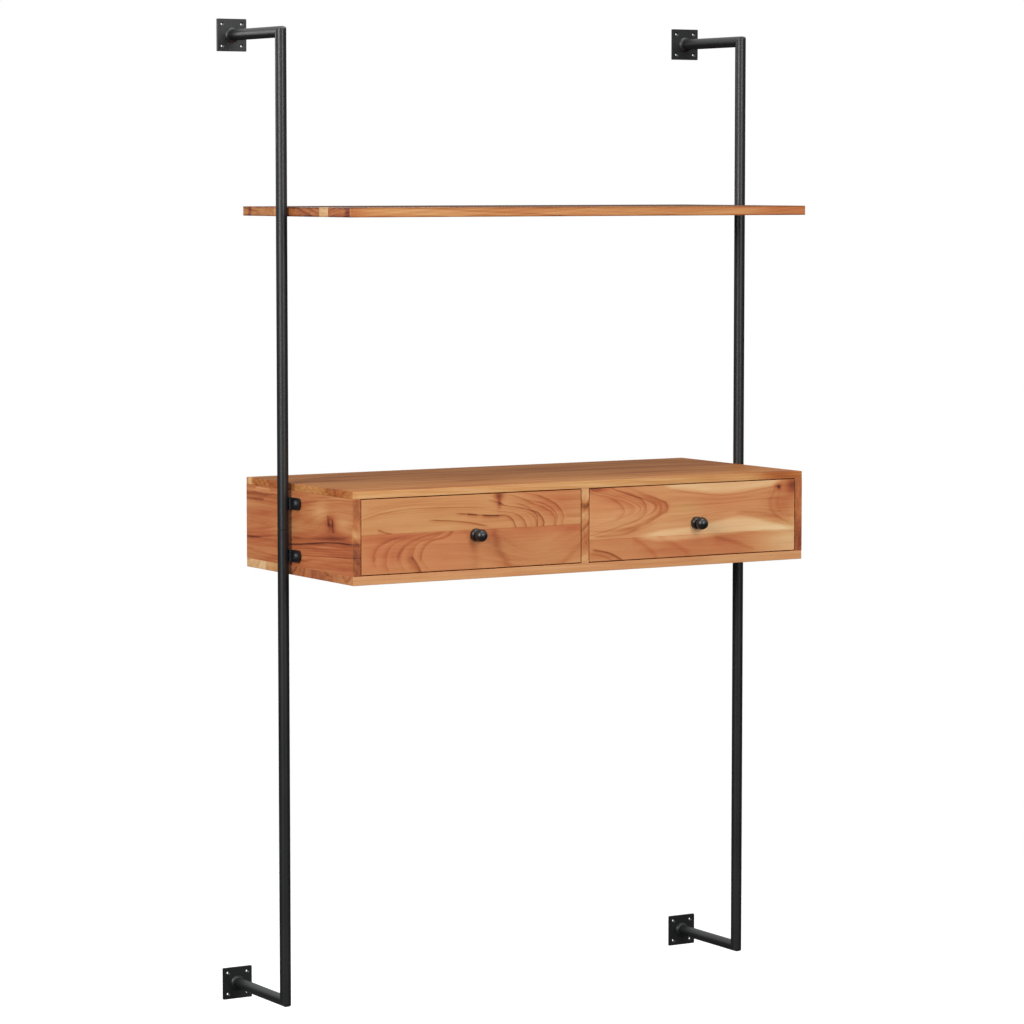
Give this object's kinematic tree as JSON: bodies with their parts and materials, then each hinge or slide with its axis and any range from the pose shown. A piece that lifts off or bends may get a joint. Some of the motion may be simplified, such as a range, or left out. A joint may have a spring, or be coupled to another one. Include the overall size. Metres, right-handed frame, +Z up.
{
  "type": "wall-mounted desk",
  "caption": "Floating wall desk of acacia boards with inset drawers and a shelf above, carried by black steel tube uprights with arms and screw plates to the wall.",
  "frame": {"origin": "on the wall plane, in the middle of the four wall plates", "axes": "+X to the right along the wall, +Y into the wall, +Z up; the drawers open towards -Y"},
  "size_m": [0.977, 0.429, 1.686],
  "materials": {
    "frame_black": "satin black powder coat",
    "bolt_black": "black oxide",
    "knob_black": "satin black",
    "plain_steel": "zinc plated",
    "acacia": "satin oil",
    "acacia_inner": "fine sanded",
    "pale_wood": "waxed"
  },
  "bodies": {
    "wall_frame": {"carcass_dowels": "pale_wood", "desk_back": "acacia_inner", "desk_bottom": "acacia", "desk_divider": "acacia", "desk_left_side": "acacia", "desk_lug_bolts": "bolt_black", "desk_lug_nuts": "plain_steel", "desk_lug_washers": "plain_steel", "desk_right_side": "acacia", "desk_top": "acacia", "drawer_stop_screws": "plain_steel", "left_drawer_left_runner": "pale_wood", "left_drawer_right_runner": "pale_wood", "left_drawer_stop": "pale_wood", "left_joint_sleeve": "frame_black", "left_lower_arm": "frame_black", "left_lower_desk_lug": "frame_black", "left_lower_upright": "frame_black", "left_lower_wall_plate": "frame_black", "left_shelf_tab": "frame_black", "left_upper_arm": "frame_black", "left_upper_desk_lug": "frame_black", "left_upper_upright": "frame_black", "left_upper_wall_plate": "frame_black", "right_drawer_left_runner": "pale_wood", "right_drawer_right_runner": "pale_wood", "right_drawer_stop": "pale_wood", "right_joint_sleeve": "frame_black", "right_lower_arm": "frame_black", "right_lower_desk_lug": "frame_black", "right_lower_upright": "frame_black", "right_lower_wall_plate": "frame_black", "right_shelf_tab": "frame_black", "right_upper_arm": "frame_black", "right_upper_desk_lug": "frame_black", "right_upper_upright": "frame_black", "right_upper_wall_plate": "frame_black", "runner_screws": "plain_steel", "shelf": "acacia", "shelf_tab_screws": "bolt_black"},
    "left_drawer": {"left_drawer_back": "acacia_inner", "left_drawer_bottom": "acacia_inner", "left_drawer_front": "acacia", "left_drawer_knob": "knob_black", "left_drawer_knob_screw": "plain_steel", "left_drawer_left_side": "acacia_inner", "left_drawer_right_side": "acacia_inner"},
    "right_drawer": {"right_drawer_back": "acacia_inner", "right_drawer_bottom": "acacia_inner", "right_drawer_front": "acacia", "right_drawer_knob": "knob_black", "right_drawer_knob_screw": "plain_steel", "right_drawer_left_side": "acacia_inner", "right_drawer_right_side": "acacia_inner"}
  },
  "joints": [
    {"name": "left_drawer_slide", "type": "slide", "parent": "wall_frame", "child": "left_drawer", "axis": [0, -1, 0], "range_m": [0, 0.26]},
    {"name": "right_drawer_slide", "type": "slide", "parent": "wall_frame", "child": "right_drawer", "axis": [0, -1, 0], "range_m": [0, 0.26]}
  ]
}
